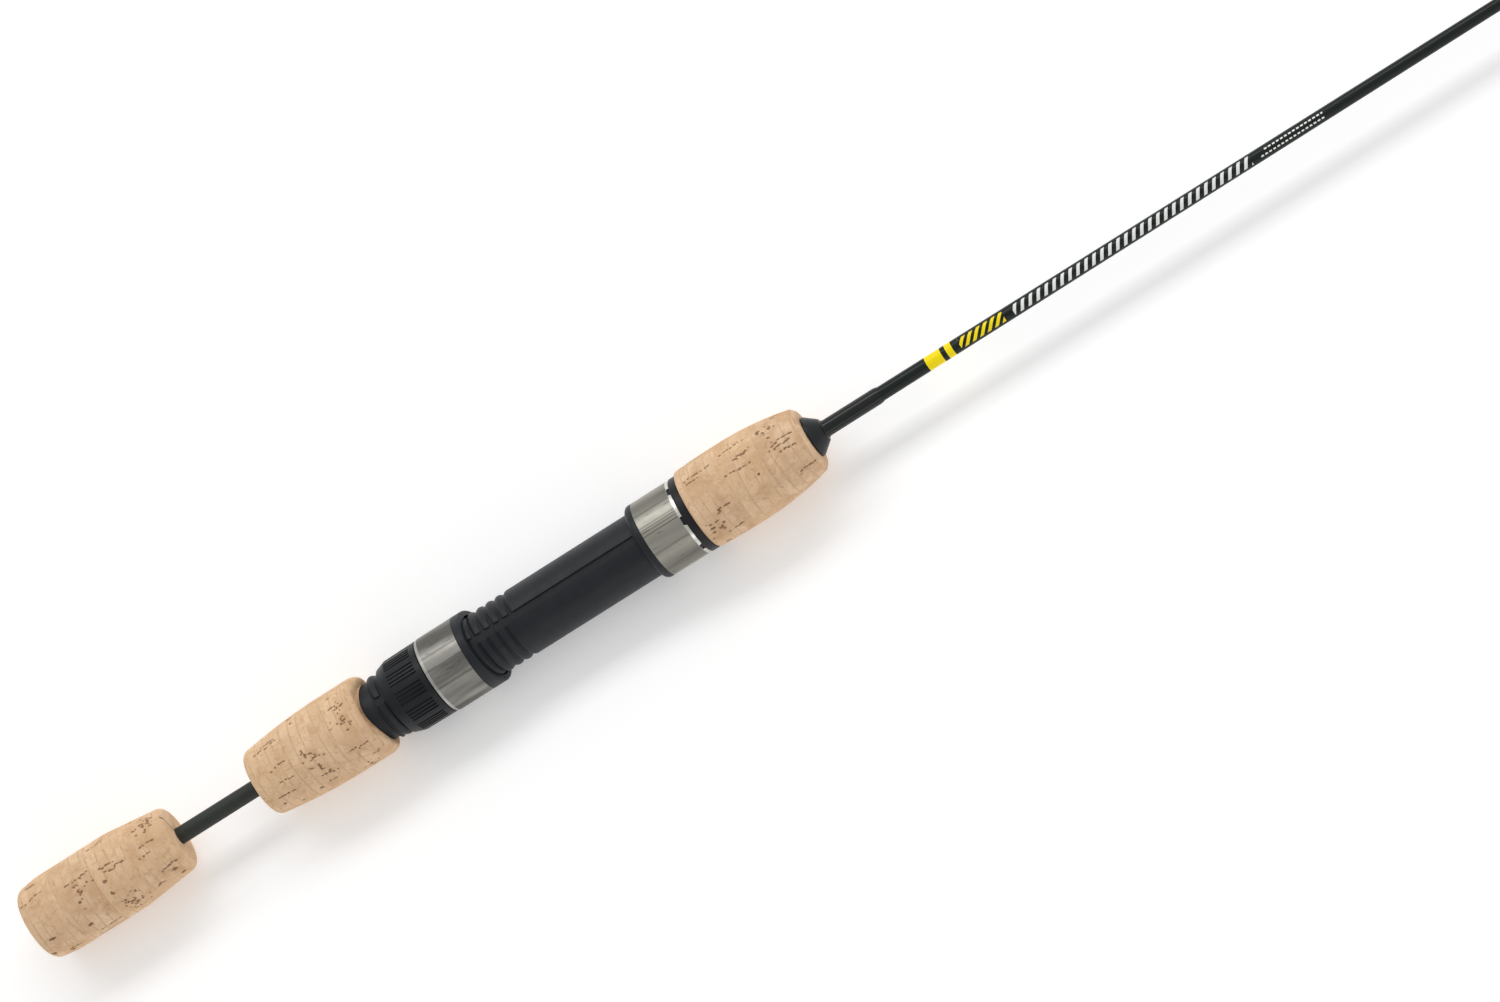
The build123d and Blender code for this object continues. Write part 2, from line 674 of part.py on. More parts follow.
def make_guide(number, tip_distance, bore, height):
    """Builds one single-foot guide: ceramic ring, frame, thread wrap and clear coat."""
    x_ring = rod_length - tip_distance
    x_leg = x_ring - guide_leg_lean
    x_foot_tail = x_leg - guide_foot_length
    x_thread_head = x_leg - guide_thread_clear
    collar_inner, collar_outer = collar_radii(bore / 2)
    ring = ring_solid(x_ring, height, bore / 2)
    finish(ring, f"guide_{number}_ring")

    foot_width = guide_foot_width_ratio * blank_radius(x_leg)
    foot_cover = wrap_cover(x_foot_tail, x_leg + guide_leg_length, guide_foot_thickness, guide_foot_gap)
    with BuildPart() as frame:
        add(foot_cover)
        with BuildSketch(Plane.XY.offset(-height)):
            with Locations((x_leg, 0)):
                Rectangle(3 * guide_foot_length, foot_width)
        extrude(amount=height, mode=Mode.INTERSECT)
        # The leg leans forward from the foot to the collar.
        with BuildSketch(Plane.XY.offset(-blank_radius(x_leg) - guide_foot_thickness / 2)):
            with Locations((x_leg + guide_leg_length / 2, 0)):
                Rectangle(guide_leg_length, foot_width)
        with BuildSketch(Plane.XY.offset(-height + collar_outer * guide_leg_top_height_ratio)):
            with Locations((x_ring, 0)):
                Rectangle(guide_leg_thickness, collar_outer * guide_leg_top_width_ratio)
        loft()
        with BuildSketch(section_at(x_ring - guide_collar_length / 2, height)):
            Circle(collar_outer)
        extrude(amount=guide_collar_length)
        with BuildSketch(section_at(x_ring - guide_leg_lean, height)):
            Circle(collar_inner)
        extrude(amount=2 * guide_leg_lean, mode=Mode.SUBTRACT)
        add(blank_bore(x_foot_tail - 1, x_ring + 2, guide_foot_gap), mode=Mode.SUBTRACT)
    finish(frame, f"guide_{number}_frame")

    rise = guide_foot_thickness * (x_thread_head - x_foot_tail) / (x_leg + guide_leg_length - x_foot_tail)
    with BuildPart() as thread:
        add(wrap_cover(x_foot_tail, x_thread_head, rise, thread_layer))
        add(wrap_cover(x_foot_tail, x_thread_head, rise, guide_foot_gap + film_gap), mode=Mode.SUBTRACT)
        add(blank_bore(x_foot_tail - 1, x_thread_head + 1, film_gap), mode=Mode.SUBTRACT)
    finish(thread, f"guide_{number}_thread")

    with BuildPart() as coat:
        add(wrap_cover(x_foot_tail, x_thread_head, rise, thread_layer + coat_layer))
        with BuildSketch():
            with BuildLine():
                Polyline(
                    (x_foot_tail, 0),
                    (x_foot_tail, blank_radius(x_foot_tail) + thread_layer + coat_layer),
                    (x_foot_tail - guide_coat_tail, blank_radius(x_foot_tail) + coat_edge),
                    (x_foot_tail - guide_coat_tail, 0),
                    close=True,
                )
            make_face()
        revolve(axis=Axis.X)
        add(wrap_cover(x_foot_tail, x_thread_head, rise, thread_layer + film_gap), mode=Mode.SUBTRACT)
        add(blank_bore(x_foot_tail - 2 * guide_coat_tail, x_foot_tail, film_gap), mode=Mode.SUBTRACT)
    finish(coat, f"guide_{number}_coat")


for guide_number, guide_facts in enumerate(zip(guide_tip_distances, guide_bores, guide_heights), 1):
    make_guide(guide_number, *guide_facts)

# ---- Tip-top: a tube over the blank's end that carries the last ring ----
x_tube_rear = rod_length - tip_tube_length
x_tip_ring = rod_length - guide_ring_length / 2
x_tip_collar_rear = x_tip_ring - guide_collar_length / 2
tip_collar_inner, tip_collar_outer = collar_radii(tip_ring_bore / 2)
tip_tube_inner = blank_radius(x_tube_rear) + glue_gap
tip_tube_outer = tip_tube_inner + tip_tube_wall
tip_ring = ring_solid(x_tip_ring, tip_ring_height, tip_ring_bore / 2)
finish(tip_ring, "tip_top_ring")

with BuildPart() as tip_top_frame:
    with BuildSketch():
        with BuildLine():
            Polyline(
                (x_tube_rear, 0),
                (x_tube_rear, tip_tube_outer),
                (rod_length, tip_tube_outer),
                (rod_length, 0),
                close=True,
            )
        make_face()
    revolve(axis=Axis.X)
    fillet(tip_top_frame.faces().sort_by(Axis.X)[-1].edges(), tip_tube_wall)
    # A web under the tube braces the collar from behind.
    with BuildSketch(Plane.XZ):
        with BuildLine():
            Polyline(
                (rod_length - guide_collar_length, 0),
                (rod_length - guide_collar_length / 2, -tip_ring_height),
                (x_tip_collar_rear, -tip_ring_height + tip_collar_outer * tip_brace_height_ratio),
                (x_tip_ring - tip_brace_length, 0),
                close=True,
            )
        make_face()
    extrude(amount=guide_leg_thickness / 2, both=True)
    with BuildSketch(section_at(x_tip_collar_rear, tip_ring_height)):
        Circle(tip_collar_outer)
    extrude(amount=guide_collar_length)
    with BuildSketch(section_at(x_tip_ring - tip_brace_length, tip_ring_height)):
        Circle(tip_collar_inner)
    extrude(amount=2 * tip_brace_length, mode=Mode.SUBTRACT)
    with BuildSketch(section_at(x_tube_rear - 1)):
        Circle(tip_tube_inner)
    extrude(amount=x_blank_tip + glue_gap - x_tube_rear + 1, mode=Mode.SUBTRACT)
finish(tip_top_frame, "tip_top_frame")

x_tip_wrap = x_tube_rear - tip_wrap_length
with BuildPart() as tip_top_thread:
    with BuildSketch():
        with BuildLine():
            Polyline(
                (x_tip_wrap, 0),
                (x_tip_wrap, blank_radius(x_tip_wrap) + thread_layer),
                (x_tube_rear - glue_gap, blank_radius(x_tube_rear) + thread_layer),
                (x_tube_rear - glue_gap, 0),
                close=True,
            )
        make_face()
    revolve(axis=Axis.X)
    add(blank_bore(x_tip_wrap - 1, x_tube_rear + 1, film_gap), mode=Mode.SUBTRACT)
finish(tip_top_thread, "tip_top_thread")

with BuildPart() as tip_top_coat:
    with BuildSketch():
        with BuildLine():
            Polyline(
                (x_tip_wrap - guide_coat_tail, 0),
                (x_tip_wrap - guide_coat_tail, blank_radius(x_tip_wrap - guide_coat_tail) + coat_edge),
                (x_tip_wrap, blank_radius(x_tip_wrap) + thread_layer + coat_layer),
                (x_tube_rear - glue_gap, blank_radius(x_tube_rear) + thread_layer + coat_layer),
                (x_tube_rear - glue_gap, 0),
                close=True,
            )
        make_face()
    revolve(axis=Axis.X)
    with BuildSketch():
        with BuildLine():
            Polyline(
                (x_tip_wrap - film_gap, 0),
                (x_tip_wrap - film_gap, blank_radius(x_tip_wrap) + thread_layer + film_gap),
                (x_tube_rear, blank_radius(x_tube_rear) + thread_layer + film_gap),
                (x_tube_rear, 0),
                close=True,
            )
        make_face()
    revolve(axis=Axis.X, mode=Mode.SUBTRACT)
    add(blank_bore(x_tip_wrap - 2 * guide_coat_tail, x_tube_rear, film_gap), mode=Mode.SUBTRACT)
finish(tip_top_coat, "tip_top_coat")
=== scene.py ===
import math

import bpy
import numpy as np
from mathutils import Matrix, Vector


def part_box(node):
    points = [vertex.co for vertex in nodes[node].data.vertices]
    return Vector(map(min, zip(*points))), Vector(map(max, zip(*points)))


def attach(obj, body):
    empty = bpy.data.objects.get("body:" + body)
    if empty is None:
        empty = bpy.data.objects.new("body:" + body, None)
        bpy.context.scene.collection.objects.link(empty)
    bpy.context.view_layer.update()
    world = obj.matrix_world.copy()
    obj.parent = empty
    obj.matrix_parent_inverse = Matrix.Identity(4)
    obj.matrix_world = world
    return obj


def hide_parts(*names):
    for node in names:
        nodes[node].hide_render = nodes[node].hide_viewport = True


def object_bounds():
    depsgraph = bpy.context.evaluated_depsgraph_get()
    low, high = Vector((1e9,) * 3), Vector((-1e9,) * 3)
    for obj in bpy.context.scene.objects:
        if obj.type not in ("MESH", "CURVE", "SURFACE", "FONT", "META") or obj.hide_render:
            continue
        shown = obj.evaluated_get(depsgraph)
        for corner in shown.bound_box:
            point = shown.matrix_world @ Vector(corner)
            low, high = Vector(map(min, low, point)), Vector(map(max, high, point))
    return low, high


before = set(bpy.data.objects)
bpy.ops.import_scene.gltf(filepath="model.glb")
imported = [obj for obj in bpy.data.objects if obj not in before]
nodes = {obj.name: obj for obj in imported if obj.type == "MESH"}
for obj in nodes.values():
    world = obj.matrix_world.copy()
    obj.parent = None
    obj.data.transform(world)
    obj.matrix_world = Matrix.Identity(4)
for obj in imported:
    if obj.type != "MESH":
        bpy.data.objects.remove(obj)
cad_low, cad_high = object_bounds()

MM = 0.001
bpy.context.scene.view_settings.view_transform = "Standard"

# ---- Camera ----
# A long lens looks down on the rod from a little behind the guides' side,
# with the butt at the lower left and the blank running out at the upper right.
towards_camera = Vector((0.17365, -0.27145, 0.94666)).normalized()
rod_across = Vector((0.0, 0.961264, 0.275638))
rod_along = rod_across.cross(towards_camera).normalized()
camera_tilt = math.radians(32.22)
camera_right = math.cos(camera_tilt) * rod_along - math.sin(camera_tilt) * rod_across
camera_up = math.sin(camera_tilt) * rod_along + math.cos(camera_tilt) * rod_across
camera_target = Vector((0.2391, 0.0, 0.0)) - 0.0058 * rod_across
camera_distance = 2.0
camera_data = bpy.data.cameras.new("camera")
camera_data.lens = 172.8
camera_data.sensor_width = 36.0
camera = bpy.data.objects.new("camera", camera_data)
bpy.context.scene.collection.objects.link(camera)
camera_axes = Matrix((camera_right, camera_up, towards_camera)).transposed()
camera_place = Matrix.Translation(camera_target + camera_distance * towards_camera)
camera.matrix_world = camera_place @ camera_axes.to_4x4()
bpy.context.scene.camera = camera


# ---- Floor and studio light ----
# A plain pale table under the rod, in a white light tent that is a little
# brighter on the far side, with a long soft box each side of the rod.
def place(tree, kind, feeds=None, **settings):
    """Adds a shader node; feeds gives its inputs, each a plain value or another node's output."""
    made = tree.nodes.new("ShaderNode" + kind)
    for key, value in settings.items():
        setattr(made, key, value)
    for key, value in (feeds or {}).items():
        if isinstance(value, bpy.types.NodeSocket):
            tree.links.new(value, made.inputs[key])
        else:
            made.inputs[key].default_value = value
    return made


def noise(tree, point, scale, detail, roughness=0.5, distortion=0.0):
    """Value of a fractal noise at a point."""
    feeds = {"Vector": point, "Scale": scale, "Detail": detail, "Roughness": roughness}
    return place(tree, "TexNoise", {**feeds, "Distortion": distortion}).outputs["Fac"]


def ramp(tree, value, low, high, bottom=0.0, top=1.0):
    """Maps low to high onto bottom to top, and holds the ends."""
    feeds = {"Value": value, "From Min": low, "From Max": high, "To Min": bottom, "To Max": top}
    return place(tree, "MapRange", feeds).outputs[0]


def finish_called(name, colour, roughness, metallic=0.0, **plain):
    """A new material with its shader's plain values set; returns it, its tree and its shader."""
    material = bpy.data.materials.new(name)
    material.use_nodes = True
    shader = material.node_tree.nodes["Principled BSDF"]
    shader.inputs["Base Color"].default_value = (*colour, 1.0)
    shader.inputs["Roughness"].default_value = roughness
    shader.inputs["Metallic"].default_value = metallic
    for key, value in plain.items():
        shader.inputs[key.replace("_", " ")].default_value = value
    return material, material.node_tree, shader


def in_mm(tree):
    """The surface point in the rod's own frame, in millimetres."""
    point = place(tree, "TexCoord").outputs["Object"]
    return place(tree, "VectorMath", {0: point, "Scale": 1000.0}, operation="SCALE").outputs[0]


floor_mesh = bpy.data.meshes.new("floor")
floor_mesh.from_pydata([(-6, -6, 0), (6, -6, 0), (6, 6, 0), (-6, 6, 0)], [], [(0, 1, 2, 3)])
floor = bpy.data.objects.new("floor", floor_mesh)
floor.location = (0.3, 0.0, cad_low.z - 0.0003)
bpy.context.scene.collection.objects.link(floor)
floor_finish, floor_tree, floor_shader = finish_called("floor_white", (0.93, 0.93, 0.93), 0.85)
floor_noise = place(floor_tree, "TexNoise", {"Scale": 3.0, "Detail": 3.0}).outputs["Fac"]
floor_tones = {"Factor": floor_noise, "A": (0.92, 0.92, 0.92, 1), "B": (0.95, 0.95, 0.95, 1)}
floor_tone = place(floor_tree, "Mix", floor_tones, data_type="RGBA")
floor_tree.links.new(floor_tone.outputs[2], floor_shader.inputs["Base Color"])
floor_shader.inputs["Emission Color"].default_value = (1.0, 1.0, 1.0, 1.0)
floor_shader.inputs["Emission Strength"].default_value = 0.22
floor_mesh.materials.append(floor_finish)


def soft_box(name, aside, distance, length, width, watts):
    """A long soft light beside the rod; aside is its angle off the camera's line of sight."""
    turn = math.radians(aside)
    back = math.cos(turn) * towards_camera + math.sin(turn) * rod_across
    lamp = bpy.data.lights.new(name, "AREA")
    lamp.shape = "RECTANGLE"
    lamp.size = length
    lamp.size_y = width
    lamp.energy = watts
    box = bpy.data.objects.new(name, lamp)
    bpy.context.scene.collection.objects.link(box)
    up = back.cross(Vector((1, 0, 0))).normalized()
    along = up.cross(back).normalized()
    axes = Matrix((along, up, back)).transposed()
    box.matrix_world = Matrix.Translation(camera_target + distance * back) @ axes.to_4x4()


soft_box("soft_box_far", 56.0, 1.3, 2.2, 0.34, 8.0)
soft_box("soft_box_near", -55.0, 1.3, 2.2, 0.22, 3.0)

room = bpy.data.worlds.new("room")
room.use_nodes = True
room_tree = room.node_tree
seen = place(room_tree, "LightPath").outputs["Is Camera Ray"]
room_light = room_tree.nodes["Background"]
tent_way = place(room_tree, "SeparateXYZ", {0: place(room_tree, "TexCoord").outputs["Generated"]}).outputs[1]
tent_tone = ramp(room_tree, tent_way, -1.0, 1.0, 0.46, 0.74)
room_tree.links.new(tent_tone, room_light.inputs["Strength"])
room_light.inputs["Color"].default_value = (1.0, 1.0, 1.0, 1)
room_seen = place(room_tree, "Background", {"Color": (0.96, 0.96, 0.96, 1)})
room_mix = place(room_tree, "MixShader", {0: seen, 1: room_light.outputs[0], 2: room_seen.outputs[0]})
room_tree.links.new(room_mix.outputs[0], room_tree.nodes["World Output"].inputs["Surface"])
bpy.context.scene.world = room


# ---- Blank ----
# The blank is a solid carbon rod, ground to a long slow taper and a short quick
# one. It is clear-coated and painted ahead of the grips, and left dull between them.
blank_butt_radius = 2.6
blank_shoulder_radius = 1.82
blank_tip_radius = 0.8
blank_shoulder = 487.0
blank_end = 711.0


def srgb(red, green, blue):
    """A colour given as 0 to 255 screen values, as the linear values a shader takes."""
    values = (red / 255, green / 255, blue / 255)
    return tuple(v / 12.92 if v <= 0.04045 else ((v + 0.055) / 1.055) ** 2.4 for v in values)


def span(node):
    """Rear and front stations of a node and its half width across the rod, in millimetres."""
    low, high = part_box(node)
    return low.x / MM, high.x / MM, (high.y - low.y) / 2 / MM


def blank_radius(x):
    """Radius of the tapered blank at station x."""
    stations = (0.0, blank_shoulder, blank_end)
    return float(np.interp(x, stations, (blank_butt_radius, blank_shoulder_radius, blank_tip_radius)))


def rounded(corners, steps=6):
    """Outline through (x, radius, round) corners, each round drawn as an arc."""
    outline = []
    for i, (x, r, ease) in enumerate(corners):
        if ease == 0:
            outline.append((x, r))
            continue
        here = np.array((x, r))
        before = np.array(corners[i - 1][:2]) - here
        after = np.array(corners[(i + 1) % len(corners)][:2]) - here
        before /= np.linalg.norm(before)
        after /= np.linalg.norm(after)
        half = math.acos(float(np.clip(before @ after, -1, 1))) / 2
        reach = ease / math.tan(half)
        centre = here + (before + after) / np.linalg.norm(before + after) * ease / math.sin(half)
        start = here + before * reach - centre
        end = here + after * reach - centre
        sweep = math.pi - 2 * half
        for k in range(steps + 1):
            t = k / steps
            point = (math.sin((1 - t) * sweep) * start + math.sin(t * sweep) * end) / math.sin(sweep)
            outline.append(tuple(centre + point))
    return outline


def skin(name, rings, closed, sharp=35.0):
    """Mesh through rings of points, each ring once round the rod; rings is rows x points x 3, in mm."""
    rows, around = rings.shape[:2]
    index = np.arange(rows * around).reshape(rows, around)
    lower = index if closed else index[:-1]
    upper = np.roll(index, -1, axis=0) if closed else index[1:]
    quads = np.stack((lower, upper, np.roll(upper, -1, axis=1), np.roll(lower, -1, axis=1)), axis=-1)
    faces = quads.reshape(-1, 4).tolist()
    if not closed:
        faces.append(index[0].tolist())
        faces.append(index[-1][::-1].tolist())
    mesh = bpy.data.meshes.new(name)
    mesh.from_pydata((rings.reshape(-1, 3) * MM).tolist(), [], faces)
    mesh.shade_smooth()
    mesh.set_sharp_from_angle(angle=math.radians(sharp))
    mesh.update()
    return mesh


def turned(name, outline, around, drop=0.0, closed=False, sharp=35.0):
    """Mesh turned about the rod from (x, radius) points; drop lowers its axis below the blank's."""
    points = np.array(outline, float)
    angle = np.linspace(0, 2 * math.pi, around, endpoint=False)
    x = np.repeat(points[:, :1], around, axis=1)
    y = points[:, 1:] * np.cos(angle)
    z = points[:, 1:] * np.sin(angle) - drop
    return skin(name, np.stack((x, y, z), axis=-1), closed, sharp)


def fit_piece(name, mesh, material, body, slot, *stands_for):
    """Puts a finished mesh on its body in place of the CAD nodes it stands for."""
    piece = bpy.data.objects.new(name, mesh)
    bpy.context.scene.collection.objects.link(piece)
    mesh.materials.append(material)
    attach(piece, body)
    if stands_for:
        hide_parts(*stands_for)
    return piece


def effect(name, inputs, outputs):
    """A new node group with named sockets; returns it with its inputs and outputs."""
    group = bpy.data.node_groups.new(name, "ShaderNodeTree")
    for label, kind, value in inputs:
        socket = group.interface.new_socket(label, in_out="INPUT", socket_type="NodeSocket" + kind)
        if value is not None:
            socket.default_value = value
    for label, kind in outputs:
        group.interface.new_socket(label, in_out="OUTPUT", socket_type="NodeSocket" + kind)
    return group, group.nodes.new("NodeGroupInput").outputs, group.nodes.new("NodeGroupOutput").inputs


def use(tree, group, feeds):
    """Places a node group in a material's tree."""
    made = tree.nodes.new("ShaderNodeGroup")
    made.node_tree = group
    for key, value in feeds.items():
        if isinstance(value, bpy.types.NodeSocket):
            tree.links.new(value, made.inputs[key])
        else:
            made.inputs[key].default_value = value
    return made.outputs


def sums(tree, operation, *terms):
    """One math node over plain numbers or outputs."""
    return place(tree, "Math", dict(enumerate(terms)), operation=operation).outputs[0]


def blend_colours(tree, mask, under, over):
    """Lays one colour over another by a mask."""
    feeds = {"Factor": mask}
    for key, colour in (("A", under), ("B", over)):
        feeds[key] = colour if isinstance(colour, bpy.types.NodeSocket) else (*colour, 1.0)
    return place(tree, "Mix", feeds, data_type="RGBA").outputs[2]


# A painted band between two stations, limited to a strip of the girth, cut into slanted bars.
painted_bars, ask, give = effect(
    "painted_bars",
    [("Point", "Vector", None), ("From", "Float", 0.0), ("To", "Float", 1.0), ("Half Height", "Float", 99.0),
     ("Offset", "Float", 0.0), ("Pitch", "Float", 1000.0), ("Fill", "Float", 1.0), ("Slant", "Float", 0.0)],
    [("Mask", "Float")],
)
axes = place(painted_bars, "SeparateXYZ", {0: ask["Point"]}).outputs
# The middle of the print faces 16 degrees off the top, towards the side the rod is read from.
facing = math.radians(106.0)
height_up = sums(painted_bars, "MULTIPLY", axes[1], -math.sin(facing))
print_side = sums(painted_bars, "MULTIPLY_ADD", axes[2], math.cos(facing), height_up)
front_up = sums(painted_bars, "MULTIPLY", axes[1], math.cos(facing))
print_front = sums(painted_bars, "MULTIPLY_ADD", axes[2], math.sin(facing), front_up)
across_squared = sums(painted_bars, "MULTIPLY", axes[1], axes[1])
girth_squared = sums(painted_bars, "MULTIPLY_ADD", axes[2], axes[2], across_squared)
girth = sums(painted_bars, "SQRT", girth_squared)
arc = sums(painted_bars, "MULTIPLY", sums(painted_bars, "ARCTAN2", print_side, print_front), girth)
off_line = sums(painted_bars, "ABSOLUTE", sums(painted_bars, "SUBTRACT", arc, ask["Offset"]))
in_strip = sums(painted_bars, "LESS_THAN", off_line, ask["Half Height"])
after_start = sums(painted_bars, "GREATER_THAN", axes[0], ask["From"])
before_end = sums(painted_bars, "LESS_THAN", axes[0], ask["To"])
leaned = sums(painted_bars, "MULTIPLY_ADD", arc, ask["Slant"], axes[0])
slanted = sums(painted_bars, "SUBTRACT", leaned, ask["From"])
bar_share = sums(painted_bars, "FRACT", sums(painted_bars, "DIVIDE", slanted, ask["Pitch"]))
in_bar = sums(painted_bars, "LESS_THAN", bar_share, ask["Fill"])
in_band = sums(painted_bars, "MULTIPLY", after_start, before_end)
in_mark = sums(painted_bars, "MULTIPLY", in_strip, in_bar)
painted_bars.links.new(sums(painted_bars, "MULTIPLY", in_band, in_mark), give["Mask"])

blank_black = srgb(22, 30, 27)
band_yellow = srgb(255, 229, 3)
mark_white = srgb(236, 238, 236)
blank_gloss, tree, shader = finish_called(
    "blank_gloss", blank_black, 0.3, Specular_IOR_Level=0.12, Coat_Weight=0.25, Coat_Roughness=0.08
)
point = in_mm(tree)
stretched = place(tree, "VectorMath", {0: point, 1: (0.06, 2.2, 2.2)}, operation="MULTIPLY").outputs[0]
fibre = noise(tree, stretched, 1.0, 4.0, 0.6)
colour = blend_colours(tree, fibre, srgb(12, 18, 15), srgb(30, 39, 34))
line_marks = {"To": 431.0, "Half Height": 0.24, "Pitch": 1.3, "Fill": 0.62}
marks = (
    (band_yellow, {"From": 301.7, "To": 306.7}),
    (band_yellow, {"From": 308.2, "To": 310.2}),
    (band_yellow, {"From": 312.4, "To": 327.0, "Half Height": 1.6, "Pitch": 2.45, "Fill": 0.5, "Slant": 0.9}),
    (mark_white, {"From": 330.0, "To": 407.6, "Half Height": 1.55, "Pitch": 2.6, "Fill": 0.42, "Slant": 0.6}),
    (mark_white, {"From": 410.5, "Offset": 0.72, **line_marks}),
    (mark_white, {"From": 412.2, "Offset": -0.72, **line_marks}),
)
for paint, place_of in marks:
    colour = blend_colours(tree, use(tree, painted_bars, {"Point": point, **place_of})["Mask"], colour, paint)
tree.links.new(colour, shader.inputs["Base Color"])
spiral_feeds = {"Vector": point, "Scale": 0.45, "Distortion": 1.2, "Detail": 2.0}
spiral = place(tree, "TexWave", spiral_feeds, bands_direction="X").outputs["Fac"]
blank_bump = place(tree, "Bump", {"Height": spiral, "Strength": 0.12, "Distance": 0.00004}).outputs[0]
tree.links.new(blank_bump, shader.inputs["Normal"])
tree.links.new(sums(tree, "MULTIPLY_ADD", fibre, 0.18, 0.2), shader.inputs["Roughness"])

blank_dull, tree, shader = finish_called("blank_dull", srgb(44, 47, 43), 0.5, Specular_IOR_Level=0.3)
point = in_mm(tree)
stretched = place(tree, "VectorMath", {0: point, 1: (0.5, 3.0, 3.0)}, operation="MULTIPLY").outputs[0]
weave = noise(tree, stretched, 1.6, 5.0, 0.65)
tree.links.new(blend_colours(tree, weave, srgb(26, 29, 26), srgb(56, 60, 55)), shader.inputs["Base Color"])
tree.links.new(sums(tree, "MULTIPLY_ADD", weave, 0.25, 0.4), shader.inputs["Roughness"])
dull_bump = place(tree, "Bump", {"Height": weave, "Strength": 0.5, "Distance": 0.00005}).outputs[0]
tree.links.new(dull_bump, shader.inputs["Normal"])

blank_rear, blank_front, _ = span("blank")
coat_start = span("seat_body")[0]
slow_taper = np.linspace(blank_rear, blank_shoulder, 60)
quick_taper = np.linspace(blank_shoulder, blank_front, 30)[1:]
stations = np.concatenate((slow_taper, quick_taper))
blank_mesh = turned("blank_rod", [(x, blank_radius(x)) for x in stations], 64)
blank_rod = fit_piece("blank_rod", blank_mesh, blank_gloss, "root", "carbon", "blank")
blank_mesh.materials.append(blank_dull)
for face in blank_mesh.polygons:
    face.material_index = 1 if face.center.x / MM < coat_start else 0


# ---- Cork grips ----
# Each grip is a stack of stamped cork rings glued on end and turned to shape on a
# lathe, so the cork's pores run along the rod and its growth lines run round it.
ring_length = 12.7

cork, tree, shader = finish_called("cork", srgb(221, 185, 146), 0.8, Specular_IOR_Level=0.25)
point = in_mm(tree)
axes = place(tree, "SeparateXYZ", {0: point}).outputs
which_ring = sums(tree, "FLOOR", sums(tree, "DIVIDE", axes[0], ring_length - 0.2))
ring_shift = place(tree, "TexWhiteNoise", {"W": which_ring}, noise_dimensions="1D").outputs
own_place = place(tree, "VectorMath", {0: ring_shift["Color"], "Scale": 60.0}, operation="SCALE").outputs[0]
in_ring = place(tree, "VectorMath", {0: point, 1: own_place}, operation="ADD").outputs[0]
tint = noise(tree, in_ring, 0.16, 3.0, distortion=0.8)
colour = blend_colours(tree, ramp(tree, tint, 0.3, 0.7), srgb(204, 165, 128), srgb(233, 202, 167))
colour = blend_colours(tree, sums(tree, "MULTIPLY", ring_shift["Value"], 0.35), colour, srgb(235, 199, 157))
blotch = ramp(tree, noise(tree, in_ring, 0.42, 4.0, 0.65, 1.5), 0.52, 0.64, top=0.5)
colour = blend_colours(tree, blotch, colour, srgb(196, 153, 113))
bark = place(tree, "VectorMath", {0: in_ring, 1: (1.0, 0.35, 0.35)}, operation="MULTIPLY").outputs[0]
growth_feeds = {"Vector": bark, "Scale": 0.1, "Distortion": 13.0, "Detail": 2.0, "Detail Scale": 0.35}
growth = place(tree, "TexWave", growth_feeds, bands_direction="X", wave_profile="SAW").outputs["Fac"]
growth_line = ramp(tree, growth, 0.8, 1.0)
growth_fade = ramp(tree, tint, 0.42, 0.58, top=0.5)
colour = blend_colours(tree, sums(tree, "MULTIPLY", growth_line, growth_fade), colour, srgb(172, 126, 86))
cells = noise(tree, in_ring, 3.2, 4.0, 0.7)
colour = blend_colours(tree, ramp(tree, cells, 0.54, 0.76, top=0.55), colour, srgb(180, 136, 96))
pore_space = place(tree, "VectorMath", {0: in_ring, 1: (0.55, 2.1, 2.1)}, operation="MULTIPLY").outputs[0]
pore = ramp(tree, noise(tree, pore_space, 0.62, 5.0, 0.62), 0.665, 0.72)
colour = blend_colours(tree, sums(tree, "MULTIPLY", pore, 0.75), colour, srgb(124, 82, 50))
pit = place(tree, "Attribute", attribute_name="pit").outputs["Fac"]
dark_pit = ramp(tree, pit, 0.15, 0.75)
crumbs = sums(tree, "MULTIPLY_ADD", cells, 0.7, 0.35)
colour = blend_colours(tree, sums(tree, "MULTIPLY", dark_pit, crumbs), colour, srgb(98, 58, 32))
glue = place(tree, "Attribute", attribute_name="glue").outputs["Fac"]
colour = blend_colours(tree, sums(tree, "MULTIPLY", glue, 0.4), colour, srgb(150, 105, 66))
tree.links.new(colour, shader.inputs["Base Color"])
relief = sums(tree, "SUBTRACT", sums(tree, "MULTIPLY", cells, 0.5), pore)
cork_bump = place(tree, "Bump", {"Height": relief, "Strength": 0.55, "Distance": 0.00012}).outputs[0]
tree.links.new(cork_bump, shader.inputs["Normal"])
tree.links.new(sums(tree, "MULTIPLY_ADD", cells, 0.2, 0.68), shader.inputs["Roughness"])


def spaced(outline, step):
    """The same outline with its points evenly spaced."""
    points = np.array(outline, float)
    along = np.concatenate(([0], np.cumsum(np.linalg.norm(np.diff(points, axis=0), axis=1))))
    even = np.linspace(0, along[-1], int(along[-1] / step) + 1)
    return np.stack((np.interp(even, along, points[:, 0]), np.interp(even, along, points[:, 1])), axis=-1)


